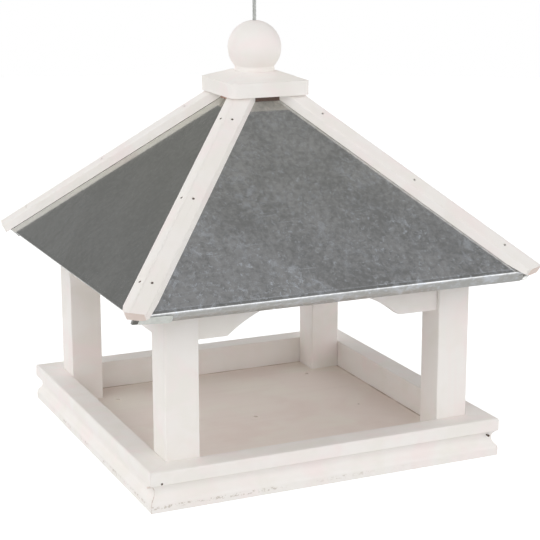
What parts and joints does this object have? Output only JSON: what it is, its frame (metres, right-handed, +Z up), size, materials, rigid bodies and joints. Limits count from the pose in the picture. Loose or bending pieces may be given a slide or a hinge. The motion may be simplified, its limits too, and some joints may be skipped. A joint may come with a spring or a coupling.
{
  "type": "hanging bird table",
  "caption": "Hanging bird table: a square tray with moulded rails, square posts, arched boards and a hipped zinc roof with battens, cap and ball, on a wire rope.",
  "frame": {"origin": "where a hook bears, at the inner top of the eye in the wire rope, on the table's upright axis", "axes": "+Z up along the rope; -Y towards the front of the table, and the sides are alike; +X to the right"},
  "size_m": [0.4044, 0.4044, 0.4735],
  "materials": {
    "painted_wood": "thin off-white paint over softwood, satin",
    "painted_floor": "thin off-white paint over plywood, matt",
    "bare_wood": "bare softwood, sawn",
    "zinc_sheet": "zinc-coated sheet steel, dull and spangled",
    "wire_rope": "zinc-coated wire rope, stranded",
    "sleeve_metal": "crimped, satin",
    "nail_steel": "dull, darkened by weather",
    "bright_steel": "zinc-plated"
  },
  "bodies": {
    "hanger": {"hanging_rope": "wire_rope", "rope_in_house": "wire_rope", "rope_eye": "wire_rope", "eye_sleeve": "sleeve_metal", "rope_stop": "sleeve_metal"},
    "house": {"arch_board_back": "painted_wood", "arch_board_front": "painted_wood", "arch_board_left": "painted_wood", "arch_board_right": "painted_wood", "batten_nails": "nail_steel", "board_dowels": "bare_wood", "finial_ball": "painted_wood", "floor_pins": "nail_steel", "hip_batten_back_left": "painted_wood", "hip_batten_back_right": "painted_wood", "hip_batten_front_left": "painted_wood", "hip_batten_front_right": "painted_wood", "hip_rafter_back_left": "bare_wood", "hip_rafter_back_right": "bare_wood", "hip_rafter_front_left": "bare_wood", "hip_rafter_front_right": "bare_wood", "peak_block": "bare_wood", "post_back_left": "painted_wood", "post_back_right": "painted_wood", "post_front_left": "painted_wood", "post_front_right": "painted_wood", "post_screws": "bright_steel", "rafter_nails": "nail_steel", "rail_nails": "nail_steel", "roof_cap": "painted_wood", "roof_panel_back": "zinc_sheet", "roof_panel_front": "zinc_sheet", "roof_panel_left": "zinc_sheet", "roof_panel_right": "zinc_sheet", "stop_washer": "bright_steel", "tray_floor": "painted_floor", "tray_rail_back": "painted_wood", "tray_rail_front": "painted_wood", "tray_rail_left": "painted_wood", "tray_rail_right": "painted_wood"}
  },
  "joints": [
    {"name": "house_swivel", "type": "hinge", "parent": "hanger", "child": "house", "pos_m": [0, 0, 0], "axis": [0, 0, 1], "continuous": true}
  ]
}
